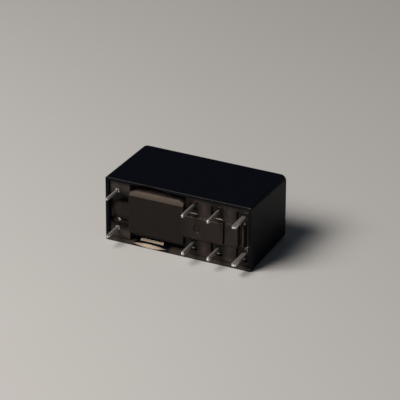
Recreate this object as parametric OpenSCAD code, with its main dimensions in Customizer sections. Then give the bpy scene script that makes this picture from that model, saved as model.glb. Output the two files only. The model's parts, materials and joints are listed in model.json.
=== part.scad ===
// Sealed power relay for a printed circuit board, with two changeover contacts.
// Each piece is drawn standing on the board, with Z up from the seating plane, X along the
// body from the coil end to the contact end and Y across the two rows of pins.
// The finished relay then lies on its long side: board up becomes +Y, and -Y becomes up.

/* [Body] */
// Length of the body
body_l = 29; // [28.4:0.1:31]
// Width of the body across the pin rows
body_w = 12.7; // [12.5:0.1:14]
// Height of the body above the board
body_h = 15.7; // [15.2:0.1:18]
// Gap between the board and the cover's rim
standoff = 0.15; // [0.05:0.05:0.3]

/* [Cover] */
// Thickness of the cover's side walls
cover_wall = 0.6; // [0.5:0.05:0.7]
// Thickness of the cover's closed face
cover_top = 0.8; // [0.6:0.05:1.2]
// Radius of the edges round the closed face
cover_round = 1; // [0.5:0.1:1.5]
// Radius of the four corner edges
cover_corner = 0.3; // [0.2:0.05:0.5]
// Radius of the balls at the closed face's corners
corner_ball = 1.2; // [1.2:0.05:1.6]
// Gap between the cover's walls and the base
cover_fit = 0.05; // [0.03:0.01:0.1]
// Length of the scallop in each long rim
scallop_l = 7.4; // [5:0.2:9]
// Width of the scallop across the rim
scallop_w = 0.55; // [0.2:0.05:0.55]
// Depth of the scallop behind the rim
scallop_h = 0.55; // [0.4:0.05:0.8]
// Length of the snap bead inside each long wall
bead_l = 4.6; // [3:0.2:6]
// How far the snap bead stands in from the wall
bead_t = 0.4; // [0.2:0.05:0.6]
// Height of the snap bead
bead_h = 0.9; // [0.7:0.05:1.3]
// Length of the snap bead's sloped lead
bead_lead = 0.3; // [0.2:0.05:0.6]

/* [Pins] */
// Length of the pins below the seating plane
pin_length = 3.5; // [2.5:0.1:5]
// Distance between the two rows of pins
row_pitch = 7.5; // [7.4:0.02:7.62]
// Distance between neighbouring contact pins
pin_pitch = 5; // [4.9:0.02:5.08]
// Distance from the body's coil end to the coil pins
coil_inset = 2.1; // [2:0.05:2.4]
// Distance from the body's contact end to the last contact pins
contact_inset = 1.9; // [1.7:0.05:2.2]
// Diameter of the coil pins
coil_pin_d = 0.6; // [0.5:0.05:0.8]
// Width of the coil pins' square stem in the base
coil_stem_w = 0.7; // [0.65:0.05:0.8]
// Height of the coil pins' shoulder above the seating plane
coil_shoulder = 0.7; // [0.5:0.05:0.8]
// Width of the closed and common contact pins
contact_pin_w = 0.7; // [0.5:0.05:0.9]
// Width of the open contact pins along the body
load_pin_w = 0.85; // [0.7:0.05:1]
// Thickness of the open contact pins
load_pin_t = 0.5; // [0.4:0.05:0.6]
// Length of the tapered tip of each pin
pin_tip = 0.4; // [0.2:0.05:0.6]

/* [Base] */
// Depth of the pin pockets above the seating plane
pocket_h = 2; // [1.9:0.05:2.1]
// Thickness of the base's floor above the pockets
floor_t = 1; // [0.9:0.05:1.1]
// Width of the raised foot
foot_w = 7.3; // [6:0.1:7.4]
// Depth of the sloped flanks along the foot's long sides
flank_h = 0.85; // [0.4:0.05:1]
// Length of the cut corners at the flanks' ends
flank_cut_l = 1.2; // [0.5:0.1:2]
// Width of the cut corners at the flanks' ends
flank_cut_w = 0.35; // [0.1:0.05:0.5]
// Width of the tongue between the contact pins
tongue_w = 4.2; // [3:0.1:4.6]
// Distance from the first contact pins to the foot
foot_clear = 1.5; // [1.2:0.1:1.8]
// Reach of the tongue past the common pins
tongue_reach = 1.35; // [1:0.05:1.6]
// Distance from the coil pins to the foot
foot_inset = 2.6; // [2.2:0.1:3]
// Depth of the heel block behind the seating plane
heel_drop = 0.3; // [0.1:0.05:0.6]
// Width of the groove between tongue and heel
heel_groove = 0.2; // [0.1:0.05:0.5]
// Length of the heel block
heel_l = 2.6; // [2:0.1:2.8]
// Width of the ribs between the contact pins
rib_w = 2.6; // [1.5:0.1:2.8]
// Depth of the ribs, the ledges and the coil end's land behind the seating plane
rib_drop = 0.6; // [0.3:0.05:1]
// Width of the ledges along the long sides
ledge_w = 0.9; // [0.5:0.1:1.1]
// Width of the rib across the contact end
end_rib_w = 0.4; // [0.2:0.05:0.6]
// Radius of the round boss at the coil end
boss_r = 1.75; // [1.2:0.05:2]
// Radius of the moat round the boss
moat_r = 3.2; // [2.6:0.1:3.3]
// Depth of the round boss behind the seating plane
boss_drop = 0.6; // [0.4:0.05:1.2]
// Depth of the two snap pockets beside the foot
snap_depth = 2.4; // [2.3:0.05:2.6]
// Length of the ramp at each end of the snap pockets
snap_ramp = 1.4; // [0.8:0.1:2]
// Radius of the moulding gate's dimple
gate_r = 0.85; // [0.5:0.05:1.2]
// Radius of the nub left in the dimple
gate_nub_r = 0.2; // [0.1:0.05:0.3]
// Depth of the moulding gate's dimple
gate_depth = 0.25; // [0.1:0.05:0.4]
// Thickness of the walls between coil and contacts and between the poles
wall_t = 0.8; // [0.6:0.05:1]
// Distance from the wall to the first contact terminals
wall_clear = 0.75; // [0.5:0.05:0.9]
// Thickness of the low skirt round the inside
skirt_t = 0.3; // [0.2:0.05:0.35]
// Height of the low skirt above the floor
skirt_h = 1.2; // [0.6:0.1:2]

/* [Resin] */
// Thickness of the casting resin in the pockets
resin_t = 0.35; // [0.2:0.05:0.5]
// Width of the resin's collar round each contact pin
collar_w = 0.45; // [0.2:0.05:0.6]
// Height of the resin's collar round each contact pin
collar_h = 0.4; // [0.2:0.05:0.6]

/* [Magnet] */
// Thickness of the yoke
yoke_t = 1.2; // [1:0.1:1.4]
// Width of the yoke under the coil
yoke_w = 8.6; // [7:0.2:9]
// Share of the bobbin's height that the iron core takes
core_fill = 0.415; // [0.35:0.005:0.46]
// How far the pole disc stands out past the core
pole_lip = 1.1; // [0.8:0.1:1.4]
// Thickness of the pole disc
pole_t = 0.9; // [0.7:0.1:1.1]
// Distance from the coil pins to the pole face
pole_inset = 0.7; // [0.5:0.05:0.9]
// Air gap left when the armature is attracted
pole_gap = 0.05; // [0.03:0.01:0.1]
// Thickness of the bobbin's flanges
flange_t = 0.8; // [0.6:0.1:1]
// Width of the bobbin's flanges
flange_w = 9.8; // [9:0.1:10.2]
// Corner radius of the bobbin's flanges
flange_r = 1.2; // [0.6:0.1:2]
// Wall of the bobbin's tube
tube_wall = 0.55; // [0.4:0.05:0.7]
// Gap between the winding and the rim of the flanges
winding_drop = 0.35; // [0.2:0.05:0.8]
// Width of each pin block on the bobbin
block_w = 1.7; // [1.4:0.1:1.8]
// Height of each pin block above the floor
block_h = 1.9; // [1.7:0.1:2.2]
// Height of the coil pins' wrap posts above the blocks
post_h = 1.2; // [0.9:0.1:1.4]
// Diameter of the coil wire's leads
lead_d = 0.2; // [0.15:0.05:0.3]
// Thickness of the armature
armature_t = 1; // [0.8:0.05:1.1]
// Width of the armature over the pole
armature_w = 7.8; // [6:0.2:8.4]
// Width of the armature's hinged end
hinge_w = 5.4; // [4:0.1:5.5]
// Gap under the armature's hinged end
hinge_lift = 0.12; // [0.1:0.01:0.2]
// Thickness of the leaf spring behind the armature
return_t = 0.15; // [0.1:0.01:0.2]
// Width of the leaf spring at its foot
return_w = 2.6; // [2:0.1:3]
// Depth of the leaf spring's foot in the floor
return_foot = 0.55; // [0.4:0.05:0.6]
// Free length of the leaf spring
return_l = 4.2; // [3:0.1:5]

/* [Contacts] */
// Thickness of the terminal strips
strip_t = 0.45; // [0.35:0.05:0.5]
// Width of the fixed contact strips
strip_w = 2.8; // [2.4:0.1:2.9]
// Width of the terminals' feet
foot_strip_w = 2.2; // [1.6:0.1:2.6]
// Inside radius of the terminals' bends
bend_r = 0.3; // [0.2:0.05:0.4]
// Distance from the card down to the contacts
contact_drop = 2; // [1.8:0.1:2.6]
// Diameter of the contact heads
contact_d = 2.4; // [2:0.1:2.6]
// Height of the fixed contact heads
fixed_head = 0.6; // [0.5:0.05:0.7]
// Height of the moving contact heads
moving_head = 0.45; // [0.4:0.05:0.55]
// Rise of the domed contact faces
dome = 0.15; // [0.12:0.01:0.2]
// Diameter of the rivets' shanks
shank_d = 1; // [0.8:0.1:1.4]
// Gap between the open contacts
contact_gap = 0.5; // [0.4:0.02:0.6]
// Gap between the closed contacts
closed_gap = 0.05; // [0.04:0.01:0.08]
// Thickness of the contact leaves
leaf_t = 0.2; // [0.12:0.02:0.24]
// Width of the contact leaves
leaf_w = 2.6; // [2.2:0.1:2.8]
// Width of the leaves' tips in the card
tip_w = 1.5; // [1:0.1:1.8]
// Height of the common terminals' clamped end above the floor
clamp_h = 1.4; // [1.1:0.1:1.8]

/* [Card] */
// Thickness of the actuator card
card_t = 1.7; // [1.4:0.1:1.9]
// Width of the card's bar over the coil
card_w = 3; // [2.4:0.1:3.6]
// Length of the card's cross head
head_l = 1.9; // [1.6:0.1:2.2]
// Width of the card's cross head
head_w = 10.4; // [9.8:0.1:10.6]
// Gap between the card and the cover's closed face
headroom = 0.5; // [0.4:0.05:0.7]

/* [Fits] */
// Gap of pieces that are pressed or riveted together
press_fit = 0.02; // [0.01:0.01:0.04]
// Gap of pieces that slide or swing past each other
slide_fit = 0.05; // [0.04:0.01:0.08]
// Play of the leaf tips in the card's slots
tip_play = 0.1; // [0.08:0.01:0.15]

/* [Hidden] */
$fn = 64;
cut = 0.5;
degrees = 180 / PI;

// Inside of the cover and outline of the base
inner_l = body_l - 2 * cover_wall;
inner_w = body_w - 2 * cover_wall;
inner_top = body_h - cover_top;
inner_round = cover_round - cover_wall / 2;
base_l = inner_l - 2 * cover_fit;
base_w = inner_w - 2 * cover_fit;
floor_top = pocket_h + floor_t;

// Share of a corner ball's radius at which its centre lies behind the walls
ball_share = 0.96;

// Pin grid
row_y = row_pitch / 2;
coil_x = coil_inset - body_l / 2;
no_x = body_l / 2 - contact_inset;
com_x = no_x - pin_pitch;
nc_x = com_x - pin_pitch;

// Underside of the base
foot_x0 = coil_x + foot_inset;
foot_x1 = nc_x - foot_clear;
foot_half = foot_w / 2 + flank_h;
tongue_x1 = com_x + tongue_reach;
heel_x0 = tongue_x1 + heel_groove;
boss_x = foot_x0 - boss_r;
gate_x = nc_x + 1.35;
snap_lip = pocket_h - 0.2;

// Snap beads and scallops, centred beside the foot
snap_x = (foot_x0 + foot_x1) / 2 - 1.5;
bead_top = snap_depth - slide_fit;

// Card and the levels that it sets
card_z1 = inner_top - headroom;
card_z0 = card_z1 - card_t;
push_z = card_z0 + card_t / 2;
wall_top = card_z0 - slide_fit;

// Contact stack along X, from the closed contact to the open one
leaf_x1 = com_x - strip_t / 2 - press_fit;
leaf_x0 = leaf_x1 - leaf_t;
nc_face = leaf_x0 - moving_head - closed_gap;
nc_strip_x = nc_face - fixed_head - strip_t;
no_face = leaf_x1 + moving_head + contact_gap;
no_strip_x = no_face + fixed_head;
contact_z = card_z0 - contact_drop;
leaf_hinge_z = floor_top + clamp_h;
strip_top = min(contact_z + contact_d / 2 + 0.2, card_z0 - 4 * slide_fit);
tip_top = card_z1 - 2 * slide_fit;

// Travel of the leaf, the card and the armature
leaf_swing = (contact_gap - closed_gap) / (contact_z - leaf_hinge_z);
stroke = leaf_swing * (push_z - leaf_hinge_z);
hinge_z = floor_top + hinge_lift;
armature_swing = stroke / (push_z - hinge_z);

// Magnet along X, from the armature to the wall before the contacts
pole_x = coil_x + pole_inset;
armature_x = pole_x - pole_gap;
wall_x1 = nc_x - strip_t / 2 - wall_clear;
wall_x0 = wall_x1 - wall_t;
yoke_x1 = wall_x0 - slide_fit;
yoke_x0 = yoke_x1 - yoke_t;
flange_x0 = pole_x + pole_t + press_fit;
flange_x1 = yoke_x0 - press_fit;

// Magnet across Z, from the floor to the card
flange_z0 = floor_top + yoke_t + press_fit;
flange_z1 = card_z0 - 6 * slide_fit;
coil_z = (flange_z0 + flange_z1) / 2;
winding_r = (flange_z1 - flange_z0) / 2 - winding_drop;
core_d = core_fill * (flange_z1 - flange_z0);
pole_d = core_d + 2 * pole_lip;
tube_r = core_d / 2 + press_fit + tube_wall;
block_top = floor_top + block_h;
block_x0 = coil_x - block_w / 2;
post_top = block_top + post_h;
shoulder_z = post_top + 8 * slide_fit;
crown_z = coil_z + pole_d / 2;
armature_top = push_z + 0.6;
lead_z = block_top + post_h / 2;
lead_wrap_r = coil_stem_w / sqrt(2) + lead_d;
lead_angle = 40;

// Leaf spring behind the armature, in the armature's own tilted frame
return_x = -armature_t - slide_fit - return_t;
return_taper = 0.7;

// Shared shapes

// Lays a piece that was drawn standing on the board on the relay's long side
module lay_down() {
    rotate([-90, 0, 0]) children();
}

// Extrudes an outline in X and Z evenly across Y
module across(w) {
    translate([0, w / 2, 0]) rotate([90, 0, 0]) linear_extrude(w) children();
}

// Extrudes an outline in Y and Z along X from x0
module along(x0, l) {
    translate([x0, 0, 0]) rotate([90, 0, 90]) linear_extrude(l) children();
}

// Box between two opposite corners
module block(low, high) {
    translate(low) cube(high - low);
}

// Rectangle between two opposite corners
module panel(low, high) {
    translate(low) square(high - low);
}

// Cylinder along X that starts at x0
module bar_x(x0, l, r) {
    translate([x0, 0, 0]) rotate([0, 90, 0]) cylinder(h = l, r = r);
}

// Round rod from one point to another
module rod(from, to, r) {
    run = to - from;
    length = norm(run);
    translate(from)
        rotate([0, acos(run.z / length), atan2(run.y, run.x)])
        cylinder(h = length, r = r);
}

// Children on both sides of the relay's middle plane
module both_sides() {
    children();
    mirror([0, 1, 0]) children();
}

// Rectangle with four round corners, centred
module round_panel(l, w, r) {
    square([l - 2 * r, w], center = true);
    square([l, w - 2 * r], center = true);
    for (x = [-1, 1], y = [-1, 1])
        translate([x * (l / 2 - r), y * (w / 2 - r)]) circle(r);
}

// Outline that stands on its open side and has its two upper corners rounded
module arch(w, low, high, r) {
    panel([-w / 2, low], [w / 2, high - r]);
    panel([-w / 2 + r, low], [w / 2 - r, high]);
    for (x = [-1, 1])
        translate([x * (w / 2 - r), high - r]) circle(r);
}

// Box that is open below, with rounded upper edges and round corner edges
module cap(l, w, low, high, edge_r, corner_r) {
    intersection() {
        translate([0, 0, low]) linear_extrude(high - low) round_panel(l, w, corner_r);
        across(w + cut) arch(l, low, high, edge_r);
        along(-l, 2 * l) arch(w, low, high, edge_r);
    }
}

// Quarter ring of a bent strip, with the bend's centre at the origin
module bend_ring(r, t) {
    intersection() {
        difference() {
            circle(r + t);
            circle(r);
        }
        square(r + t);
    }
}

// Tapered pin blade that hangs down from the seating side of a terminal
module pin_blade(x, side, w_x, w_y, top) {
    translate([x, side * row_y, 0])
        intersection() {
            block([-w_x / 2, -w_y / 2, -pin_length], [w_x / 2, w_y / 2, top]);
            across(w_y) blade_outline(w_x, top);
            along(-w_x, 2 * w_x) blade_outline(w_y, top);
        }
}

// Outline of a pin blade with its lower end drawn in
module blade_outline(w, top) {
    polygon([
        [-w / 4, -pin_length], [w / 4, -pin_length], [w / 2, pin_tip - pin_length],
        [w / 2, top], [-w / 2, top], [-w / 2, pin_tip - pin_length]
    ]);
}

// Contact rivet along X: domed head, shank and the flat end behind the strip
module contact_head(face_x, base_x) {
    rise = abs(face_x - base_x);
    ball_r = (pow(contact_d / 2, 2) + pow(dome, 2)) / (2 * dome);
    toward = face_x > base_x ? 1 : -1;
    intersection() {
        bar_x(min(face_x, base_x), rise, contact_d / 2);
        translate([face_x - toward * ball_r, 0, 0]) sphere(ball_r, $fn = 128);
    }
}

// Underside of the base, seen as outlines in X and Y

module base_outline() {
    round_panel(base_l, base_w, cover_corner);
}

module foot_outline() {
    panel([foot_x0, -foot_w / 2], [foot_x1, foot_w / 2]);
    panel([foot_x1 - cut, -tongue_w / 2], [tongue_x1, tongue_w / 2]);
}

module heel_outline() {
    panel([heel_x0, -tongue_w / 2], [heel_x0 + heel_l, tongue_w / 2]);
}

module boss_outline() {
    translate([boss_x, 0]) circle(boss_r);
    panel([boss_x, -boss_r], [foot_x0, boss_r]);
}

// Ribs and ledges round the contact pins, the rib at the contact end and the land at the coil end
module rib_outline() {
    intersection() {
        base_outline();
        union() {
            both_sides() {
                for (x = [(nc_x + com_x) / 2, (com_x + no_x) / 2])
                    panel([x - rib_w / 2, tongue_w / 2], [x + rib_w / 2, base_w / 2]);
                panel([nc_x - pin_pitch / 10, base_w / 2 - ledge_w], [base_l / 2, base_w / 2]);
            }
            translate([no_x, 0]) square([end_rib_w, tongue_w], center = true);
            difference() {
                panel([-base_l / 2, -base_w / 2], [foot_x0, base_w / 2]);
                translate([boss_x, 0]) circle(moat_r);
            }
        }
    }
}

// Foot with sloped flanks, and the tongue that runs on from it between the contact pins
module foot() {
    deep = pocket_h + cut;
    linear_extrude(deep) panel([foot_x1 - cut, -tongue_w / 2], [tongue_x1, tongue_w / 2]);
    intersection() {
        along(foot_x0, foot_x1 - foot_x0)
            polygon([
                [-foot_w / 2, 0], [foot_w / 2, 0], [foot_half, flank_h], [foot_half, deep],
                [-foot_half, deep], [-foot_half, flank_h]
            ]);
        linear_extrude(deep) flank_outline();
    }
}

// Outline of the foot with its flanks, whose four corners are cut
module flank_outline() {
    end_half = foot_half - flank_cut_w;
    polygon([
        [foot_x0, -end_half], [foot_x0 + flank_cut_l, -foot_half], [foot_x1 - flank_cut_l, -foot_half],
        [foot_x1, -end_half], [foot_x1, end_half], [foot_x1 - flank_cut_l, foot_half],
        [foot_x0 + flank_cut_l, foot_half], [foot_x0, end_half]
    ]);
}

// Snap pocket beside the foot, as a ramped outline in X and Z
module snap_outline() {
    polygon([
        [foot_x0, -cut], [foot_x0, snap_lip], [foot_x0 + snap_ramp, snap_depth],
        [foot_x1 - snap_ramp, snap_depth], [foot_x1, snap_lip], [foot_x1, -cut]
    ]);
}

module snap_pockets() {
    both_sides()
        translate([0, (foot_half + base_w / 2 + cut) / 2, 0])
            across(base_w / 2 - foot_half + cut) snap_outline();
}

// Every pin where it passes the base and the resin, with a gap all round
module pin_holes(gap) {
    for (side = [-1, 1]) {
        coil_stem(side, -cut, floor_top + cut, gap);
        for (x = [nc_x, com_x])
            translate([x, side * row_y, floor_top / 2])
                cube([strip_t + 2 * gap, contact_pin_w + 2 * gap, floor_top + 2 * cut], center = true);
        translate([no_x, side * row_y, floor_top / 2])
            cube([load_pin_w + 2 * gap, load_pin_t + 2 * gap, floor_top + 2 * cut], center = true);
    }
}

// Square stem of a coil pin between two levels, with a gap all round
module coil_stem(side, low, high, gap) {
    half = coil_stem_w / 2 + gap;
    translate([coil_x, side * row_y, 0]) block([-half, -half, low], [half, half, high]);
}

// Housing

module cover() {
    color([0.03, 0.035, 0.05])
    difference() {
        union() {
            difference() {
                difference() {
                    cap(body_l, body_w, standoff, body_h, cover_round, cover_corner);
                    both_sides() corner_cut();
                    mirror([1, 0, 0]) both_sides() corner_cut();
                }
                translate([0, 0, -cut])
                    cap(inner_l, inner_w, standoff, inner_top + cut, inner_round, cover_corner);
            }
            both_sides() snap_bead();
        }
        both_sides() scallop();
    }
}

// Rounds a corner of the closed face to a ball, in a long edge that sharpens towards the rim
module corner_cut() {
    rim_inset = (corner_ball + cover_corner * (sqrt(2) - 1)) / sqrt(2);
    ball_inset = corner_ball * ball_share;
    nip = corner_ball / 6;
    ball = [body_l / 2 - ball_inset, body_w / 2 - ball_inset, body_h - ball_inset];
    rim = [body_l / 2 - rim_inset, body_w / 2 - rim_inset, standoff - cut];
    difference() {
        block([ball.x - nip, ball.y - nip, standoff - cut / 2], [body_l, body_w, body_h + cut]);
        rod(rim, ball, corner_ball);
        translate(ball) sphere(corner_ball);
    }
}

// Bead with a sloped lead that holds the base's edge in the cover
module snap_bead() {
    along(snap_x - bead_l / 2, bead_l)
        polygon([
            [inner_w / 2 + cover_wall / 2, bead_top], [inner_w / 2 - bead_t, bead_top],
            [inner_w / 2 - bead_t, bead_top - bead_h + bead_lead], [inner_w / 2, bead_top - bead_h],
            [inner_w / 2 + cover_wall / 2, bead_top - bead_h]
        ]);
}

// Long shallow cut in the inner edge of the rim
module scallop() {
    slope = atan2(scallop_w, scallop_h);
    depth = scallop_w * cos(slope);
    scallop_r = (pow(scallop_l / 2, 2) + pow(depth, 2)) / (2 * depth);
    translate([snap_x, inner_w / 2 + scallop_w, standoff])
        rotate([slope, 0, 0])
        translate([0, -scallop_r, 0])
        cylinder(h = 4 * scallop_h, r = scallop_r, center = true, $fn = 180);
}

module base() {
    color([0.17, 0.165, 0.16])
    difference() {
        union() {
            difference() {
                union() {
                    translate([0, 0, pocket_h]) linear_extrude(floor_t) base_outline();
                    translate([0, 0, heel_drop]) linear_extrude(pocket_h - heel_drop + cut) heel_outline();
                    translate([0, 0, rib_drop]) linear_extrude(pocket_h - rib_drop + cut) rib_outline();
                    translate([0, 0, boss_drop]) linear_extrude(pocket_h - boss_drop + cut) boss_outline();
                }
                snap_pockets();
            }
            foot();
            base_walls();
        }
        pin_holes(press_fit);
        gate_dimple();
        spring_slot();
    }
}

// Round sunk mark of the moulding gate, with its nub left standing
module gate_dimple() {
    translate([gate_x, 0, -cut])
        difference() {
            cylinder(h = gate_depth + cut, r = gate_r);
            cylinder(h = 2 * gate_depth + cut, r = gate_nub_r);
        }
}

// Insulating walls on the floor, the card's guide cheeks and the skirt
module base_walls() {
    block([wall_x0, -base_w / 2, floor_top - cut], [wall_x1, base_w / 2, wall_top]);
    block([wall_x1 - cut, -wall_t / 2, floor_top - cut], [base_l / 2, wall_t / 2, wall_top]);
    both_sides()
        block(
            [wall_x0, card_w / 2 + slide_fit, wall_top - cut],
            [wall_x1, card_w / 2 + slide_fit + wall_t, card_z1]
        );
    translate([0, 0, floor_top - cut])
        linear_extrude(skirt_h + cut)
            difference() {
                base_outline();
                square([base_l - 2 * skirt_t, base_w - 2 * skirt_t], center = true);
            }
}

// Slot in the floor that holds the foot of the armature's leaf spring
module spring_slot() {
    play = slide_fit + return_foot * armature_swing;
    dip = slide_fit - return_x * armature_swing;
    block(
        [armature_x + return_x - play, -return_w / 2 - slide_fit, floor_top - return_foot - dip],
        [armature_x + return_x + return_t + play, return_w / 2 + slide_fit, floor_top + cut]
    );
}

// Casting resin in the moat and in the pockets round the contact pins
module sealing_resin() {
    color([0.1, 0.1, 0.105])
    difference() {
        union() {
            translate([0, 0, pocket_h - resin_t])
                linear_extrude(resin_t)
                    difference() {
                        base_outline();
                        foot_outline();
                        heel_outline();
                        boss_outline();
                        rib_outline();
                        both_sides()
                            panel([foot_x0, foot_w / 2 - cut], [foot_x1, base_w]);
                    }
            resin_collars();
        }
        pin_holes(0);
    }
}

// Raised resin where it has crept up the contact pins
module resin_collars() {
    for (side = [-1, 1])
        for (x = [nc_x, com_x, no_x])
            translate([x, side * row_y, pocket_h - resin_t - collar_h])
                cylinder(
                    h = collar_h + resin_t / 2, r1 = contact_pin_w / 2, r2 = contact_pin_w / 2 + collar_w
                );
}

// Coil and magnet

module coil_pin(side) {
    color([0.78, 0.76, 0.72])
    union() {
        translate([coil_x, side * row_y, -pin_length]) {
            cylinder(h = pin_tip, d1 = coil_pin_d / 2, d2 = coil_pin_d);
            translate([0, 0, pin_tip]) cylinder(h = coil_shoulder + pin_length - pin_tip, d = coil_pin_d);
        }
        coil_stem(side, coil_shoulder, post_top, 0);
    }
}

// Place on the winding where a lead leaves it
function lead_end(side) = [
    flange_x0 + flange_t + lead_d,
    side * (winding_r + lead_d) * cos(lead_angle),
    coil_z - (winding_r + lead_d) * sin(lead_angle)
];

// Place on the wrap post where a lead starts
function lead_start(side) = [coil_x + lead_wrap_r - lead_d / 2, side * row_y, lead_z];

module coil_lead(side) {
    color([0.72, 0.4, 0.2])
    difference() {
        union() {
            translate([coil_x, side * row_y, lead_z - 2 * lead_d])
                cylinder(h = 4 * lead_d, r = lead_wrap_r);
            rod(lead_start(side), lead_end(side), lead_d / 2);
        }
        coil_stem(side, lead_z - post_h, lead_z + post_h, 0);
    }
}

module coil_bobbin() {
    color([0.16, 0.16, 0.18])
    difference() {
        union() {
            for (x = [flange_x0, flange_x1 - flange_t])
                along(x, flange_t)
                    translate([0, coil_z]) round_panel(flange_w, flange_z1 - flange_z0, flange_r);
            translate([0, 0, coil_z]) bar_x(flange_x0, flange_x1 - flange_x0, tube_r);
            both_sides()
                block(
                    [block_x0, row_y - block_w / 2, floor_top + slide_fit],
                    [flange_x0 + flange_t, row_y + block_w / 2, block_top]
                );
        }
        translate([0, 0, coil_z])
            bar_x(flange_x0 - cut, flange_x1 - flange_x0 + 2 * cut, core_d / 2 + press_fit);
        for (side = [-1, 1]) {
            coil_stem(side, 0, post_top, press_fit);
            rod(lead_start(side), lead_end(side), lead_d);
        }
        yoke_blank(slide_fit);
        bend_relief();
    }
}

// Room under the inner flange for the inside of the yoke's bend
module bend_relief() {
    block(
        [yoke_x0 - bend_r - slide_fit, -flange_w / 2 - cut, floor_top],
        [yoke_x0 + cut, flange_w / 2 + cut, floor_top + yoke_t + bend_r + slide_fit]
    );
}

module coil_winding() {
    end_gap = flange_t + press_fit;
    color([0.7, 0.36, 0.16])
    translate([0, 0, coil_z])
        difference() {
            bar_x(flange_x0 + end_gap, flange_x1 - flange_x0 - 2 * end_gap, winding_r);
            bar_x(flange_x0, flange_x1 - flange_x0, tube_r + press_fit);
        }
}

module iron_core() {
    color([0.6, 0.6, 0.58])
    translate([0, 0, coil_z]) {
        bar_x(pole_x, pole_t, pole_d / 2);
        bar_x(pole_x, yoke_x1 - pole_x, core_d / 2);
    }
}

// Long leg of the yoke under the coil, narrow between the pin blocks, with a gap all round
module yoke_blank(gap) {
    reach = pole_x - gap;
    narrow = hinge_w / 2 + gap;
    block([reach, -narrow, floor_top - gap], [yoke_x0, narrow, floor_top + yoke_t + gap]);
}

module yoke() {
    corner = yoke_t + bend_r;
    color([0.62, 0.62, 0.6])
    difference() {
        union() {
            yoke_blank(0);
            across(yoke_w) {
                panel([flange_x0 + flange_t, floor_top], [yoke_x1 - corner, floor_top + yoke_t]);
                panel([yoke_x0, floor_top + corner], [yoke_x1, crown_z]);
                translate([yoke_x1 - corner, floor_top + corner]) mirror([0, 1]) bend_ring(bend_r, yoke_t);
            }
        }
        translate([0, 0, coil_z]) bar_x(yoke_x0 - cut, yoke_t + 2 * cut, core_d / 2 + press_fit);
    }
}

// Tilts the armature and its spring from the attracted place to the place of rest
module at_rest() {
    translate([armature_x, 0, hinge_z]) rotate([0, -armature_swing * degrees, 0]) children();
}

module armature() {
    color([0.64, 0.64, 0.62])
    at_rest()
        along(-armature_t, armature_t) {
            panel([-hinge_w / 2, 0], [hinge_w / 2, crown_z - hinge_z]);
            panel([-armature_w / 2, shoulder_z - hinge_z], [armature_w / 2, crown_z - hinge_z]);
            panel([-card_w / 2, shoulder_z - hinge_z], [card_w / 2, armature_top - hinge_z]);
        }
}

// Flat spring that stands in the floor and leans on the armature's outer face
module armature_spring() {
    low = floor_top - return_foot - hinge_z;
    high = floor_top + return_l - hinge_z;
    color([0.8, 0.62, 0.32])
    at_rest()
        along(return_x, return_t)
            polygon([
                [-return_w / 2, low], [return_w / 2, low], [return_w / 2, 0],
                [return_w / 2 * return_taper, high], [-return_w / 2 * return_taper, high], [-return_w / 2, 0]
            ]);
}

// Contact set

// Bar that rests on the armature at one end and holds both leaf tips in its cross head
module actuator_card() {
    nose_x = armature_x - stroke + slide_fit + card_t / 2;
    head_x = (leaf_x0 + leaf_x1) / 2;
    color([0.85, 0.83, 0.76])
    difference() {
        union() {
            block([nose_x, -card_w / 2, card_z0], [head_x, card_w / 2, card_z1]);
            translate([nose_x, card_w / 2, push_z]) rotate([90, 0, 0]) cylinder(h = card_w, d = card_t);
            translate([head_x - head_l / 2, -head_w / 2, card_z0]) cube([head_l, head_w, card_t]);
        }
        both_sides()
            block(
                [leaf_x0 - tip_play, row_y - tip_w / 2 - tip_play, card_z0 - cut],
                [leaf_x1 + tip_play, row_y + tip_w / 2 + tip_play, card_z1 + cut]
            );
    }
}

// Terminal with its pin, a foot along the floor and an upright strip that is bent up from it
module fixed_terminal(pin_x, strip_x, side, w_x, w_y) {
    outward = strip_x > pin_x ? 1 : -1;
    inside = strip_x + (outward > 0 ? 0 : strip_t) - outward * bend_r;
    pin_edge = pin_x - outward * w_x / 2;
    color([0.78, 0.76, 0.72])
    union() {
        pin_blade(pin_x, side, w_x, w_y, floor_top + strip_t / 2);
        difference() {
            translate([0, side * row_y, 0]) {
                across(foot_strip_w)
                    panel([min(pin_edge, inside), floor_top], [max(pin_edge, inside), floor_top + strip_t]);
                across(foot_strip_w)
                    translate([inside, floor_top + strip_t + bend_r])
                        scale([outward, -1]) bend_ring(bend_r, strip_t);
                across(strip_w)
                    panel([strip_x, floor_top + strip_t + bend_r], [strip_x + strip_t, strip_top]);
            }
            translate([0, side * row_y, contact_z])
                bar_x(strip_x - cut, strip_t + 2 * cut, shank_d / 2 + press_fit);
        }
    }
}

module nc_terminal(side) {
    fixed_terminal(nc_x, nc_strip_x, side, strip_t, contact_pin_w);
}

module no_terminal(side) {
    fixed_terminal(no_x, no_strip_x, side, load_pin_w, load_pin_t);
}

module nc_contact(side) {
    color([0.86, 0.84, 0.8])
    translate([0, side * row_y, contact_z]) {
        contact_head(nc_face, nc_strip_x + strip_t);
        bar_x(nc_strip_x, strip_t + fixed_head / 2, shank_d / 2);
    }
}

module no_contact(side) {
    color([0.86, 0.84, 0.8])
    translate([0, side * row_y, contact_z]) {
        contact_head(no_face, no_strip_x);
        bar_x(no_strip_x - fixed_head / 2, strip_t + fixed_head / 2, shank_d / 2);
    }
}

// Terminal of the moving contact: pin and the upright end that the leaf is welded to
module common_terminal(side) {
    color([0.78, 0.76, 0.72])
    union() {
        pin_blade(com_x, side, strip_t, contact_pin_w, floor_top + strip_t);
        translate([com_x - strip_t / 2, side * row_y - foot_strip_w / 2, floor_top])
            cube([strip_t, foot_strip_w, clamp_h]);
    }
}

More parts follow.
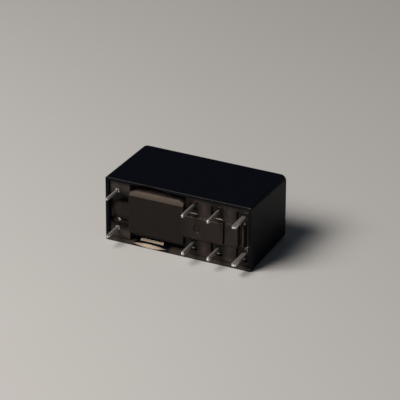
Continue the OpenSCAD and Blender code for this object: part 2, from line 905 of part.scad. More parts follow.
// Thin springy strip that carries the moving contact, narrowed where it enters the card
module contact_leaf(side) {
    neck_z = strip_top;
    color([0.82, 0.55, 0.3])
    difference() {
        translate([0, side * row_y, 0])
            along(leaf_x0, leaf_t)
                polygon([
                    [-foot_strip_w / 2, floor_top + slide_fit], [foot_strip_w / 2, floor_top + slide_fit],
                    [foot_strip_w / 2, leaf_hinge_z], [leaf_w / 2, contact_z - contact_d / 2],
                    [leaf_w / 2, contact_z + contact_d / 4], [tip_w / 2, neck_z], [tip_w / 2, tip_top],
                    [-tip_w / 2, tip_top], [-tip_w / 2, neck_z], [-leaf_w / 2, contact_z + contact_d / 4],
                    [-leaf_w / 2, contact_z - contact_d / 2], [-foot_strip_w / 2, leaf_hinge_z]
                ]);
        translate([0, side * row_y, contact_z])
            bar_x(leaf_x0 - cut, leaf_t + 2 * cut, shank_d / 2 + press_fit);
    }
}

module moving_contact(side) {
    color([0.86, 0.84, 0.8])
    translate([0, side * row_y, contact_z]) {
        contact_head(leaf_x0 - moving_head, leaf_x0);
        contact_head(leaf_x1 + moving_head, leaf_x1);
        bar_x(leaf_x0 - moving_head / 2, leaf_t + moving_head, shank_d / 2);
    }
}

lay_down() cover();
lay_down() base();
lay_down() sealing_resin();
lay_down() coil_pin(-1);  // coil_pin_1
lay_down() coil_pin(1);  // coil_pin_2
lay_down() coil_lead(-1);  // coil_lead_1
lay_down() coil_lead(1);  // coil_lead_2
lay_down() coil_bobbin();
lay_down() coil_winding();
lay_down() iron_core();
lay_down() yoke();
lay_down() armature();
lay_down() armature_spring();
lay_down() actuator_card();
lay_down() nc_terminal(-1);  // nc_terminal_1
lay_down() nc_terminal(1);  // nc_terminal_2
lay_down() nc_contact(-1);  // nc_contact_1
lay_down() nc_contact(1);  // nc_contact_2
lay_down() common_terminal(-1);  // common_terminal_1
lay_down() common_terminal(1);  // common_terminal_2
lay_down() contact_leaf(-1);  // contact_leaf_1
lay_down() contact_leaf(1);  // contact_leaf_2
lay_down() moving_contact(-1);  // moving_contact_1
lay_down() moving_contact(1);  // moving_contact_2
lay_down() no_terminal(-1);  // no_terminal_1
lay_down() no_terminal(1);  // no_terminal_2
lay_down() no_contact(-1);  // no_contact_1
lay_down() no_contact(1);  // no_contact_2
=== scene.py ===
"""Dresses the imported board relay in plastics, resin and metals, and sets up floor, light and camera."""
import json
import math

import bpy
import numpy as np
from mathutils import Matrix, Vector
from mathutils.bvhtree import BVHTree

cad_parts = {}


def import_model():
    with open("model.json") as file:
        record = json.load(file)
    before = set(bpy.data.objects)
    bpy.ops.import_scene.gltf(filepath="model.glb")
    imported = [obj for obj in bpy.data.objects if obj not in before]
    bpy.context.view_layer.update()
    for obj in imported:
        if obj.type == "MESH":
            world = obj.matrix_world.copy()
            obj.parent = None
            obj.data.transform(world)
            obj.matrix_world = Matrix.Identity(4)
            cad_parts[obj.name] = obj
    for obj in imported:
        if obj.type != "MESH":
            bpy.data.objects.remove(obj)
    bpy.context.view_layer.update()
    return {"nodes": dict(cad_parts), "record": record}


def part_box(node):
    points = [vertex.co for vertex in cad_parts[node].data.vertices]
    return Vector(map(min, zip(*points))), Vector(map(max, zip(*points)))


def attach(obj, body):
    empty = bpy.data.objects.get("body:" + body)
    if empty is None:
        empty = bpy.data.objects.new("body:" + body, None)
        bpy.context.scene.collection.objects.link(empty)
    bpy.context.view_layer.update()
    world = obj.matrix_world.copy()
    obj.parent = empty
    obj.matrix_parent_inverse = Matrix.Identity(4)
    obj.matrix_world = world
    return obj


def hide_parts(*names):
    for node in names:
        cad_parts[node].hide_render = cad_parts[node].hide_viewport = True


MM = 0.001

# Camera, fitted to the outline, the corners and the pin tips in a square picture
VIEW_TARGET = Vector((1.084, 7.0, 1.959)) * MM
VIEW_AZIMUTH = math.radians(25.753)
VIEW_ELEVATION = math.radians(26.799)
VIEW_ROLL = math.radians(0.275)
VIEW_DISTANCE = 531.3 * MM
VIEW_NEAR = 10 * MM
VIEW_LENS = 265.431
VIEW_SENSOR = 36.0

# Floor and light
FLOOR_HALF = 1500 * MM
FLOOR_LIFT = 1.03
FLOOR_SHINE = 0.2
WORLD_COLOR = (0.9, 0.95, 1.0, 1)
WORLD_STRENGTH = 0.04
KEY_PLACE = Vector((-183, -227, 340)) * MM
KEY_SIZE = 240 * MM
KEY_POWER = 2.4
KEY_COLOR = (1.0, 0.86, 0.71)

# Small round on the moulded and stamped edges, and the least angle that counts as an edge
EDGE_ANGLE = math.radians(35)
FLAT_ANGLE = math.radians(0.5)
EDGE_ROUND = {"cover": 0.12 * MM, "base": 0.12 * MM}
PIN_ROUND = 0.05 * MM
ROUND_SEGMENTS = 2
WELD_GAP = 0.001 * MM

# Darkest and palest tone of each material, where the cover's pale one is its film of resin
COVER_TONES = (0.0016, 0.0029, 0.0072, 1), (0.041, 0.035, 0.032, 1)
BASE_TONES = (0.002, 0.0017, 0.0018, 1), (0.046, 0.039, 0.0405, 1)
RESIN_TONES = (0.0022, 0.002, 0.0024, 1), (0.016, 0.0142, 0.013, 1)
TIN_TONES = (0.78, 0.79, 0.8, 1), (0.94, 0.95, 0.97, 1)
COPPER_TONES = (0.5, 0.19, 0.07, 1), (0.72, 0.32, 0.14, 1)
BOBBIN_TONES = (0.022, 0.022, 0.025, 1), (0.04, 0.04, 0.045, 1)
IRON_TONES = (0.46, 0.45, 0.43, 1), (0.62, 0.61, 0.59, 1)
BRONZE_TONES = (0.55, 0.32, 0.13, 1), (0.76, 0.5, 0.26, 1)
CARD_TONES = (0.6, 0.56, 0.46, 1), (0.74, 0.7, 0.6, 1)
SILVER_TONES = (0.7, 0.67, 0.61, 1), (0.9, 0.88, 0.84, 1)
FLOOR_TONE = (0.55, 0.6, 0.67, 1)

# Tint of the highlights on cover and base
WARM_GLEAM = (1.0, 0.9, 0.8, 1)

# Range that most of a noise's values lie in, and radians that a wave texture of scale 1 runs in a metre
NOISE_LOW = 0.3
NOISE_HIGH = 0.7
WAVE_ANGLE = 20

# Cover: skin that counts as its outside, how its masks fade, and how much it shines
SKIN = 0.1 * MM
SKIN_FADE = 0.05 * MM
THIN_FADE = 0.025 * MM
EDGE_SHEEN = 0.15 * MM
COVER_SHINE = 0.08
CORE_SHINE = 0.5
EDGE_SHINE = 0.3
CORE_POLISH = -0.2
COVER_CLOUDS = 0.02

# Cover: film that the resin leaves on the lower rim and wall, on both sides of the scallop
FILM_TOP = -5.7 * MM
FILM_DEEP = 2.4 * MM
FILM_LEFT = -9.4 * MM
FILM_RIGHT = -1.4 * MM
FILM_FADE = 0.8 * MM

# Base: depths between which its haze sets in, and how pale its foot, tongue, boss and clouds are
HAZE_START = 0.2 * MM
HAZE_END = 0.7 * MM
FOOT_HAZE = 0.2
DISC_HAZE = 0.31
CLOUD_HAZE = 0.06
TONGUE_START = 0.6 * MM
TONGUE_END = 3.0 * MM

# Base: painted shade round the contact pins and in the moat, and the boss's paler disc, outside which the
# moat's painted shade covers the boss
PIN_PLACES = [Vector((x, 0, 3.75)) * MM for x in (2.6, 7.6, 12.6)]
PIN_SHADE_START = 1.1 * MM
PIN_SHADE_END = 2.8 * MM
BOSS_PLACE = Vector((-11.55, 0, 0)) * MM
MOAT_SHADE_START = 3.4 * MM
MOAT_SHADE_END = 4.4 * MM
DISC_PLACES = [BOSS_PLACE + Vector((x, 0, 0.15)) * MM for x in (0, 0.6, 1.2, 1.8)]
DISC_FACE = 1.25 * MM
DISC_EDGE = 1.42 * MM

# Base: softened edges, and the worn ones on the tongue and in the gate's dimple
SOFT_EDGE = 0.2 * MM
BEVEL_SAMPLES = 8
WORN_START = 0.01 * MM
WORN_END = 0.2 * MM
WORN_HALF = 2.2 * MM
WORN_FADE = 0.1 * MM
BASE_SHINE = 0.15
WORN_SHINE = 1.0
WORN_POLISH = -0.16

# Cast resin: depths between which its painted shade in the wells gives way as it gets thinner and paler,
# and how much it shines
WELL_DEEP = 1.6 * MM
WELL_EDGE = 1.1 * MM
RESIN_CLOUDS = 0.15
RESIN_SHINE = 0.28

# Cast resin: grid step, how fast it levels out, and how far it creeps up the walls and the pins
RESIN_STEP = 0.1 * MM
RESIN_DEPTH = 0.35 * MM
RESIN_LEVELLING = 0.3 * MM
WALL_CREEP = 0.4 * MM
END_CREEP = 0.9 * MM
END_CHANNEL = Vector((12.2, 0, 3.3)) * MM
BOSS_DRY = 2.0 * MM
PIN_CREEP = 0.25 * MM
RESIN_BURIED = 0.06 * MM
RAY_LEAD = 10 * MM
LEVELLING_PASSES = 400

# Drop of resin in the moat below the boss: middle, reach, height, and the power that its flanks fall by
DROP_PLACE = Vector((-12.1, 0, -2.5)) * MM
DROP_HALF = Vector((1.8, 0, 0.95)) * MM
DROP_HEIGHT = 0.75 * MM
DROP_POWER = 1.2


class Shader:
    """A node material built round one Principled shader, with its textures in object space."""

    def __init__(self, name):
        self.material = bpy.data.materials.new(name)
        self.material.use_nodes = True
        self.tree = self.material.node_tree
        self.surface = self.tree.nodes["Principled BSDF"]
        self.place = self.tree.nodes.new("ShaderNodeTexCoord").outputs["Object"]

    def set(self, **values):
        """Sets even values on the shader's own sockets."""
        for key, value in values.items():
            self.surface.inputs[key.replace("_", " ")].default_value = value

    def link(self, source, target):
        """Joins a node's output to another node's input."""
        self.tree.links.new(source, target)

    def noise(self, size, detail=3.0, stretch=(1, 1, 1), distortion=0.0):
        """Cloudy noise with features of about that size."""
        mapping = self.tree.nodes.new("ShaderNodeMapping")
        mapping.inputs["Scale"].default_value = stretch
        self.link(self.place, mapping.inputs["Vector"])
        texture = self.tree.nodes.new("ShaderNodeTexNoise")
        texture.inputs["Scale"].default_value = 1 / size
        texture.inputs["Detail"].default_value = detail
        texture.inputs["Distortion"].default_value = distortion
        self.link(mapping.outputs["Vector"], texture.inputs["Vector"])
        return texture.outputs["Fac"]

    def cells(self, size):
        """Grainy cells of about that size."""
        texture = self.tree.nodes.new("ShaderNodeTexVoronoi")
        texture.inputs["Scale"].default_value = 1 / size
        self.link(self.place, texture.inputs["Vector"])
        return texture.outputs["Distance"]

    def bands(self, size, axis, distortion):
        """Bands of that spacing along one axis."""
        texture = self.tree.nodes.new("ShaderNodeTexWave")
        texture.bands_direction = axis
        texture.inputs["Scale"].default_value = math.tau / (WAVE_ANGLE * size)
        texture.inputs["Distortion"].default_value = distortion
        self.link(self.place, texture.inputs["Vector"])
        return texture.outputs["Fac"]

    def ramp(self, factor, tones, start=NOISE_LOW, end=NOISE_HIGH):
        """Blend from the first tone to the second as the factor rises."""
        node = self.tree.nodes.new("ShaderNodeValToRGB")
        for element, position, tone in zip(node.color_ramp.elements, (start, end), tones):
            element.position = position
            element.color = tone
        self.link(factor, node.inputs["Fac"])
        return node.outputs["Color"]

    def step(self, factor, start, end, low=0.0, high=1.0):
        """Number that runs from low to high as the factor goes from start to end."""
        node = self.tree.nodes.new("ShaderNodeMapRange")
        for key, value in (("From Min", start), ("From Max", end), ("To Min", low), ("To Max", high)):
            node.inputs[key].default_value = value
        self.link(factor, node.inputs["Value"])
        return node.outputs["Result"]

    def spread(self, noise, low, high):
        """Number that runs from low to high as the noise rises through its middle."""
        return self.step(noise, NOISE_LOW, NOISE_HIGH, low, high)

    def blend(self, mask, off, on):
        """Number that goes over from one value to another where the mask sets in."""
        return self.step(mask, 0, 1, off, on)

    def math(self, operation, *factors):
        """Sum, product or the like of all the factors."""
        node = self.tree.nodes.new("ShaderNodeMath")
        node.operation = operation
        for number, factor in enumerate(factors[:2]):
            self.link(factor, node.inputs[number])
        result = node.outputs["Value"]
        return self.math(operation, result, *factors[2:]) if factors[2:] else result

    def axis(self, name):
        """Place along an axis of the part."""
        split = self.tree.nodes.new("ShaderNodeSeparateXYZ")
        self.link(self.place, split.inputs["Vector"])
        return split.outputs[name]

    def along(self, axis, start, end):
        """Number that rises from 0 to 1 between two places along an axis."""
        return self.step(self.axis(axis), start, end)

    def inside(self, axis, limit, fade):
        """Number that is 1 nearer than the limit to the part's middle, and 0 a fade's width farther out."""
        return self.step(self.math("ABSOLUTE", self.axis(axis)), limit + fade, limit)

    def apart(self, places, start, end, mirrored=True):
        """Number that rises from 0 to 1 with the distance from the nearest place, seen along the pins."""
        height = self.axis("Z")
        flat = self.tree.nodes.new("ShaderNodeCombineXYZ")
        self.link(self.axis("X"), flat.inputs["X"])
        self.link(self.math("ABSOLUTE", height) if mirrored else height, flat.inputs["Z"])
        distances = []
        for place in places:
            node = self.tree.nodes.new("ShaderNodeVectorMath")
            node.operation = "DISTANCE"
            node.inputs[1].default_value = place
            self.link(flat.outputs["Vector"], node.inputs[0])
            distances.append(node.outputs["Value"])
        nearest = self.math("MINIMUM", *distances) if len(distances) > 1 else distances[0]
        return self.step(nearest, start, end)

    def rounded(self, radius):
        """Normal that turns softly over the edges."""
        node = self.tree.nodes.new("ShaderNodeBevel")
        node.samples = BEVEL_SAMPLES
        node.inputs["Radius"].default_value = radius
        return node.outputs["Normal"]

    def bump(self, height, depth, below=None):
        """Surface relief of that depth, laid over another relief where one is given."""
        node = self.tree.nodes.new("ShaderNodeBump")
        node.inputs["Distance"].default_value = depth
        self.link(height, node.inputs["Height"])
        if below is not None:
            self.link(below, node.inputs["Normal"])
        return node.outputs["Normal"]

    def finish(self, color, roughness, normal, shine=None):
        """Joins the looks to the shader, and gives back the material."""
        self.link(color, self.surface.inputs["Base Color"])
        self.link(roughness, self.surface.inputs["Roughness"])
        self.link(normal, self.surface.inputs["Normal"])
        if shine is not None:
            self.link(shine, self.surface.inputs["Specular IOR Level"])
        return self.material


def glossy_cover():
    """Deep black, satin outside, polished inside and on the top front edge, with resin on the lower rim."""
    shader = Shader("cover_gloss")
    shader.set(Specular_Tint=WARM_GLEAM)
    low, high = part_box("cover")
    within = shader.math(
        "MULTIPLY",
        shader.inside("X", high.x - SKIN, SKIN_FADE),
        shader.inside("Z", high.z - SKIN, SKIN_FADE),
        shader.along("Y", high.y - SKIN + SKIN_FADE, high.y - SKIN),
    )
    beside_scallop = shader.math(
        "MAXIMUM",
        shader.along("X", FILM_LEFT + FILM_FADE, FILM_LEFT),
        shader.along("X", FILM_RIGHT - FILM_FADE, FILM_RIGHT),
    )
    film = shader.math(
        "MULTIPLY",
        within,
        shader.along("Z", FILM_TOP, FILM_TOP - THIN_FADE),
        shader.along("Y", FILM_DEEP, FILM_DEEP - FILM_FADE),
        beside_scallop,
    )
    core = shader.math(
        "MULTIPLY",
        within,
        shader.along("Y", low.y + THIN_FADE, low.y + 2 * THIN_FADE),
        shader.blend(film, off=1, on=0),
    )
    edge = shader.math(
        "MULTIPLY",
        shader.along("Z", high.z - EDGE_SHEEN, high.z - EDGE_SHEEN + THIN_FADE),
        shader.along("Y", low.y + EDGE_SHEEN, low.y + EDGE_SHEEN - THIN_FADE),
    )
    polished = shader.math("MAXIMUM", core, edge)
    clouds = shader.noise(size=3 * MM)
    peel = shader.noise(size=0.5 * MM, detail=2.0)
    marks = shader.noise(size=0.25 * MM, detail=4.0, stretch=(0.05, 1, 1), distortion=0.4)
    tone = shader.math("ADD", film, shader.spread(clouds, low=0, high=COVER_CLOUDS))
    color = shader.ramp(tone, COVER_TONES, start=0.0, end=1.0)
    satin = shader.spread(marks, low=0.42, high=0.52)
    roughness = shader.math("ADD", satin, shader.blend(polished, off=0, on=CORE_POLISH))
    normal = shader.bump(peel, depth=0.004 * MM, below=shader.bump(marks, depth=0.0015 * MM))
    shine = shader.math(
        "ADD",
        shader.blend(polished, off=COVER_SHINE, on=CORE_SHINE),
        shader.blend(edge, off=0, on=EDGE_SHINE),
    )
    return shader.finish(color, roughness, normal, shine)


def matt_base():
    """Warm charcoal with a fine grain, paler in the recesses, with painted shade round the pins and the
    boss.
    """
    shader = Shader("base_matt")
    shader.set(Specular_Tint=WARM_GLEAM)
    clouds = shader.noise(size=2.2 * MM, detail=4.0)
    grain = shader.noise(size=0.09 * MM, detail=2.0)
    fibres = shader.noise(size=0.06 * MM, detail=1.0, stretch=(0.2, 1, 0.6), distortion=0.6)
    recess = shader.along("Y", HAZE_START, HAZE_END)
    # Painted shade: the base goes dark round the contact pins, and round the boss in its moat, all but the
    # boss's paler disc
    round_pins = shader.apart(PIN_PLACES, PIN_SHADE_START, PIN_SHADE_END)
    disc = shader.apart(DISC_PLACES, DISC_EDGE, DISC_FACE, mirrored=False)
    beyond_moat = shader.apart([BOSS_PLACE], MOAT_SHADE_START, MOAT_SHADE_END)
    round_boss = shader.math("MAXIMUM", shader.blend(disc, off=0, on=DISC_HAZE), beyond_moat)
    uneven = shader.spread(shader.noise(size=1.3 * MM), low=0.6, high=1.25)
    # The painted shade takes the recess paleness away near the pins and the boss
    haze_less_painted_shade = shader.math("MULTIPLY", recess, uneven, shader.math("MINIMUM", round_pins, round_boss))
    foot = shader.blend(recess, off=FOOT_HAZE, on=0)
    tongue = shader.math("MULTIPLY", foot, shader.along("X", TONGUE_START, TONGUE_END))
    haze_and_painted_shade = shader.math("ADD", haze_less_painted_shade, foot, tongue, shader.spread(clouds, low=0, high=CLOUD_HAZE))
    color = shader.ramp(haze_and_painted_shade, BASE_TONES, start=0.0, end=1.0)
    worn = shader.math(
        "MULTIPLY",
        shader.along("Y", WORN_START, 2 * WORN_START),
        shader.along("Y", WORN_END, WORN_END - WORN_START),
        shader.inside("Z", WORN_HALF, WORN_FADE),
    )
    matt = shader.spread(grain, low=0.38, high=0.48)
    roughness = shader.math("ADD", matt, shader.blend(worn, off=0, on=WORN_POLISH))
    soft = shader.bump(fibres, depth=0.004 * MM, below=shader.rounded(SOFT_EDGE))
    normal = shader.bump(grain, depth=0.008 * MM, below=soft)
    return shader.finish(color, roughness, normal, shader.blend(worn, off=BASE_SHINE, on=WORN_SHINE))


def cast_resin():
    """Casting resin, black in the depth of the wells as painted shade, and paler where it thins out over
    their edges.
    """
    shader = Shader("resin_cast")
    shader.set(Specular_IOR_Level=RESIN_SHINE)
    clouds = shader.noise(size=1.6 * MM)
    ripples = shader.noise(size=0.9 * MM, detail=1.0)
    dust = shader.noise(size=0.12 * MM)
    # Painted shade: the deeper the resin lies in a well, the darker its colour
    shallow_unshaded = shader.along("Y", WELL_DEEP, WELL_EDGE)
    thin_and_unshaded = shader.math("ADD", shader.spread(clouds, low=0, high=RESIN_CLOUDS), shallow_unshaded)
    color = shader.ramp(thin_and_unshaded, RESIN_TONES, start=0.1, end=1.0)
    normal = shader.bump(ripples, depth=0.03 * MM, below=shader.bump(dust, depth=0.003 * MM))
    smooth = shader.step(thin_and_unshaded, start=0.1, end=0.6, low=0.4, high=0.1)
    roughness = shader.math("ADD", smooth, shader.spread(dust, low=0.0, high=0.1))
    return shader.finish(color, roughness, normal)


def tinned_metal():
    """Bright tin with drawn streaks along the pin and duller patches."""
    shader = Shader("pin_tin")
    shader.set(Metallic=0.9)
    patches = shader.noise(size=0.6 * MM, detail=4.0)
    streaks = shader.noise(size=0.08 * MM, detail=2.0, stretch=(1, 0.08, 1))
    color = shader.ramp(patches, TIN_TONES)
    roughness = shader.spread(patches, low=0.42, high=0.28)
    return shader.finish(color, roughness, shader.bump(streaks, depth=0.006 * MM))


def enamelled_copper():
    """Fine enamelled wire laid turn by turn along the coil."""
    shader = Shader("wire_copper")
    shader.set(Metallic=0.9, Coat_Weight=0.6, Coat_Roughness=0.15)
    turns = shader.bands(size=0.12 * MM, axis="X", distortion=0.25)
    clouds = shader.noise(size=0.8 * MM)
    color = shader.ramp(clouds, COPPER_TONES)
    roughness = shader.spread(clouds, low=0.26, high=0.4)
    return shader.finish(color, roughness, shader.bump(turns, depth=0.05 * MM))


def moulded_bobbin():
    """Black glass-filled moulding."""
    shader = Shader("bobbin_moulded")
    grain = shader.noise(size=0.1 * MM)
    color = shader.ramp(shader.noise(size=1.2 * MM), BOBBIN_TONES)
    roughness = shader.spread(grain, low=0.45, high=0.6)
    return shader.finish(color, roughness, shader.bump(grain, depth=0.01 * MM))


def plated_iron():
    """Soft iron with a dull nickel plate and rolling marks."""
    shader = Shader("iron_plated")
    shader.set(Metallic=1.0)
    rolling = shader.noise(size=0.1 * MM, stretch=(1, 0.05, 1))
    color = shader.ramp(shader.noise(size=1.5 * MM), IRON_TONES)
    roughness = shader.spread(rolling, low=0.3, high=0.45)
    return shader.finish(color, roughness, shader.bump(rolling, depth=0.006 * MM))


def rolled_bronze():
    """Rolled spring bronze with a satin grain along the strip."""
    shader = Shader("spring_bronze_rolled")
    shader.set(Metallic=1.0)
    rolling = shader.noise(size=0.06 * MM, stretch=(1, 0.05, 1))
    color = shader.ramp(shader.noise(size=1.8 * MM, detail=4.0), BRONZE_TONES)
    roughness = shader.spread(rolling, low=0.25, high=0.4)
    return shader.finish(color, roughness, shader.bump(rolling, depth=0.004 * MM))


def cream_card():
    """Natural cream moulding with a soft satin grain."""
    shader = Shader("card_moulded")
    shader.set(Subsurface_Weight=0.05)
    grain = shader.noise(size=0.12 * MM)
    color = shader.ramp(shader.noise(size=1.8 * MM), CARD_TONES)
    roughness = shader.spread(grain, low=0.42, high=0.55)
    return shader.finish(color, roughness, shader.bump(grain, depth=0.008 * MM))


def silver_alloy():
    """Silver contact alloy with a lightly pressed face."""
    shader = Shader("contact_alloy")
    shader.set(Metallic=1.0)
    tarnish = shader.noise(size=0.7 * MM)
    color = shader.ramp(tarnish, SILVER_TONES)
    roughness = shader.spread(tarnish, low=0.2, high=0.34)
    return shader.finish(color, roughness, shader.bump(shader.cells(size=0.15 * MM), depth=0.004 * MM))


def plain_floor():
    """Pale studio floor with a barely visible grain."""
    shader = Shader("floor_pale")
    shader.set(Specular_IOR_Level=FLOOR_SHINE)
    grain = shader.noise(size=0.6 * MM)
    paler = tuple(FLOOR_LIFT * part for part in FLOOR_TONE[:3]) + (1,)
    color = shader.ramp(shader.noise(size=90 * MM), (FLOOR_TONE, paler))
    roughness = shader.spread(grain, low=0.6, high=0.7)
    return shader.finish(color, roughness, shader.bump(grain, depth=0.01 * MM))


def dress_nodes(nodes, record):
    """Gives every CAD node the material of its slot."""
    makers = {
        "cover": glossy_cover,
        "base": matt_base,
        "resin": cast_resin,
        "tinned_pins": tinned_metal,
        "copper": enamelled_copper,
        "bobbin": moulded_bobbin,
        "iron": plated_iron,
        "spring_bronze": rolled_bronze,
        "card": cream_card,
        "contact_silver": silver_alloy,
    }
    materials = {slot: maker() for slot, maker in makers.items()}
    for part in record["subparts"]:
        node = nodes[part["node"]]
        node.data.materials.clear()
        node.data.materials.append(materials[part["material_slot"]])
    return materials


def round_edges(node, width):
    """Breaks a node's sharp edges with a small round, without touching its mesh."""
    weld = node.modifiers.new("weld", "WELD")
    weld.merge_threshold = WELD_GAP
    flat = node.modifiers.new("flat", "DECIMATE")
    flat.decimate_type = "DISSOLVE"
    flat.angle_limit = FLAT_ANGLE
    bevel = node.modifiers.new("round", "BEVEL")
    bevel.width = width
    bevel.segments = ROUND_SEGMENTS
    bevel.limit_method = "ANGLE"
    bevel.angle_limit = EDGE_ANGLE
    normals = node.modifiers.new("normals", "WEIGHTED_NORMAL")
    normals.keep_sharp = True


def resin_mask(node, low, columns, rows):
    """Which grid points the cast resin covers, from the CAD solid seen from the pin side."""
    points = [vertex.co for vertex in node.data.vertices]
    faces = [tuple(face.vertices) for face in node.data.polygons]
    solid = BVHTree.FromPolygons(points, faces)
    start = low.y - RAY_LEAD
    covered = np.zeros((columns, rows), bool)
    for column in range(columns):
        x = low.x + column * RESIN_STEP
        for row in range(rows):
            z = low.z + row * RESIN_STEP
            hit = solid.ray_cast(Vector((x, start, z)), Vector((0, 1, 0)))
            covered[column, row] = hit[0] is not None
    return covered


def neighbours(grid):
    """The four neighbours of every point, with the border repeated."""
    padded = np.pad(grid, 1, mode="edge")
    return padded[:-2, 1:-1], padded[2:, 1:-1], padded[1:-1, :-2], padded[1:-1, 2:]


def grid_places(low, columns, rows):
    """Places of the grid's columns along X and of its rows along Z."""
    xs = low.x + RESIN_STEP * np.arange(columns)
    zs = low.z + RESIN_STEP * np.arange(rows)
    return xs[:, None], zs[None, :]


def wall_creep(low, columns, rows):
    """How far the resin creeps up a wall at each point: most in the end channel, not at all on the boss."""
    xs, zs = grid_places(low, columns, rows)
    creep = np.where((xs > END_CHANNEL.x) & (np.abs(zs) < END_CHANNEL.z), END_CREEP, WALL_CREEP)
    return np.where(np.hypot(xs - BOSS_PLACE.x, zs - BOSS_PLACE.z) < BOSS_DRY, 0.0, creep)


def resin_drop(low, columns, rows):
    """Height of the drop of resin in the moat at each point."""
    xs, zs = grid_places(low, columns, rows)
    share = np.hypot((xs - DROP_PLACE.x) / DROP_HALF.x, (zs - DROP_PLACE.z) / DROP_HALF.z)
    return DROP_HEIGHT * np.clip(1 - share ** DROP_POWER, 0, None)


def resin_rise(covered, pins, creep):
    """Height of the resin over its flat level: it creeps up at walls and pins, and levels out between."""
    rise = np.where(covered, 0.0, creep)
    rise[pins] = PIN_CREEP
    free = covered & ~pins
    pull = (RESIN_STEP / RESIN_LEVELLING) ** 2
    for _ in range(LEVELLING_PASSES):
        around = neighbours(rise)
        mean = sum(around) / (len(around) + pull)
        rise[free] = mean[free]
    return rise


def pin_cells(nodes, low, columns, rows):
    """Grid points inside the contact pins."""
    inside = np.zeros((columns, rows), bool)
    names = [name for name in nodes if "_terminal_" in name]
    xs, zs = grid_places(low, columns, rows)
    for name in names:
        points = np.array([vertex.co for vertex in nodes[name].data.vertices])
        legs = points[points[:, 1] < 0]
        column = (xs >= legs[:, 0].min()) & (xs <= legs[:, 0].max())
        row = (zs >= legs[:, 2].min()) & (zs <= legs[:, 2].max())
        inside |= column & row
    return inside


def closed_relief(name, low, keep, front, back):
    """Closed mesh over the kept grid points: a relief in front, a flat back and walls round the edge."""
    count = int(keep.sum())
    numbers = np.full(keep.shape, -1)
    numbers[keep] = np.arange(count)
    columns, rows = np.nonzero(keep)
    xs = low.x + RESIN_STEP * columns
    zs = low.z + RESIN_STEP * rows
    points = np.concatenate([
        np.stack([xs, front[keep], zs], axis=1),
        np.stack([xs, np.full(count, back), zs], axis=1),
    ])
    corners = [numbers[:-1, :-1], numbers[1:, :-1], numbers[1:, 1:], numbers[:-1, 1:]]
    whole = np.all([corner >= 0 for corner in corners], axis=0)
    fronts = np.stack([corner[whole] for corner in corners], axis=1).tolist()
    backs = [[corner + count for corner in reversed(quad)] for quad in fronts]
    sides = [side for quad in fronts for side in zip(quad, quad[1:] + quad[:1])]
    known = set(sides)
    walls = [(b, a, a + count, b + count) for a, b in sides if (b, a) not in known]
    mesh = bpy.data.meshes.new(name)
    mesh.from_pydata(points.tolist(), [], fronts + backs + walls)
    smooth = np.zeros(len(mesh.polygons), bool)
    smooth[:len(fronts)] = True
    mesh.polygons.foreach_set("use_smooth", smooth)
    mesh.update()
    piece = bpy.data.objects.new(name, mesh)
    bpy.context.scene.collection.objects.link(piece)
    return piece


def pour_resin(nodes, material):
    """Cast resin that has crept up the walls and the pins, in place of the plain resin solid."""
    low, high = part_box("sealing_resin")
    low = low - Vector((RESIN_STEP, 0, RESIN_STEP))
    high = high + Vector((RESIN_STEP, 0, RESIN_STEP))
    columns = round((high.x - low.x) / RESIN_STEP) + 1
    rows = round((high.z - low.z) / RESIN_STEP) + 1
    pins = pin_cells(nodes, low, columns, rows)
    covered = resin_mask(nodes["sealing_resin"], low, columns, rows) | pins
    crept = resin_rise(covered, pins, wall_creep(low, columns, rows))
    rise = crept + resin_drop(low, columns, rows)
    keep = covered | np.any(neighbours(covered), axis=0)
    floor_level = high.y
    flat_level = floor_level - RESIN_DEPTH
    piece = closed_relief("poured_resin", low, keep, flat_level - rise, floor_level + RESIN_BURIED)
    piece.data.materials.append(material)
    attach(piece, "housing")
    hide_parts("sealing_resin")


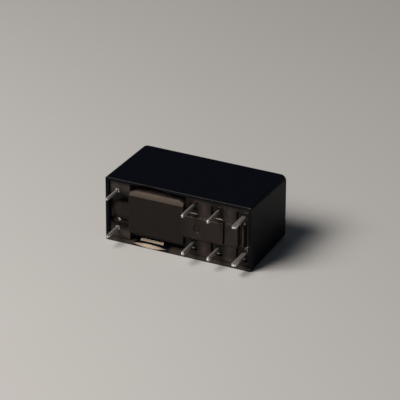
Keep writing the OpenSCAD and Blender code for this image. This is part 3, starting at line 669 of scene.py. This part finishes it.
def lay_floor(level):
    """Wide flat floor at that height."""
    mesh = bpy.data.meshes.new("studio_floor")
    corners = [(-1, -1), (1, -1), (1, 1), (-1, 1)]
    mesh.from_pydata([(x * FLOOR_HALF, y * FLOOR_HALF, level) for x, y in corners], [], [(0, 1, 2, 3)])
    floor = bpy.data.objects.new("studio_floor", mesh)
    bpy.context.scene.collection.objects.link(floor)
    mesh.materials.append(plain_floor())


def light_studio():
    """Faint even light all round, and one soft key lamp from the front left above."""
    scene = bpy.context.scene
    world = bpy.data.worlds.new("studio_world")
    world.use_nodes = True
    background = world.node_tree.nodes["Background"]
    background.inputs["Color"].default_value = WORLD_COLOR
    background.inputs["Strength"].default_value = WORLD_STRENGTH
    scene.world = world
    lamp = bpy.data.lights.new("key_lamp", "AREA")
    lamp.shape = "SQUARE"
    lamp.size = KEY_SIZE
    lamp.energy = KEY_POWER
    lamp.color = KEY_COLOR
    holder = bpy.data.objects.new("key_lamp", lamp)
    scene.collection.objects.link(holder)
    holder.location = KEY_PLACE
    holder.rotation_euler = (VIEW_TARGET - KEY_PLACE).to_track_quat("-Z", "Y").to_euler()


def place_camera():
    """Camera at the photograph's viewing angle."""
    lens = bpy.data.cameras.new("photo_view")
    lens.lens = VIEW_LENS
    lens.sensor_width = VIEW_SENSOR
    lens.clip_start = VIEW_NEAR
    camera = bpy.data.objects.new("photo_view", lens)
    bpy.context.scene.collection.objects.link(camera)
    level = math.cos(VIEW_ELEVATION)
    back = Vector((
        math.sin(VIEW_AZIMUTH) * level,
        -math.cos(VIEW_AZIMUTH) * level,
        math.sin(VIEW_ELEVATION),
    ))
    move = Matrix.Translation(VIEW_TARGET + VIEW_DISTANCE * back)
    turn = back.to_track_quat("Z", "Y").to_matrix().to_4x4()
    camera.matrix_world = move @ turn @ Matrix.Rotation(VIEW_ROLL, 4, "Z")
    bpy.context.scene.camera = camera


def main():
    """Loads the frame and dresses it."""
    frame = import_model()
    nodes = frame["nodes"]
    bpy.context.scene.view_settings.view_transform = "Standard"
    materials = dress_nodes(nodes, frame["record"])
    for name, width in EDGE_ROUND.items():
        round_edges(nodes[name], width)
    for part in frame["record"]["subparts"]:
        if part["material_slot"] == "tinned_pins":
            round_edges(nodes[part["node"]], PIN_ROUND)
    pour_resin(nodes, materials["resin"])
    lay_floor(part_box("cover")[0].z)
    light_studio()
    place_camera()


main()
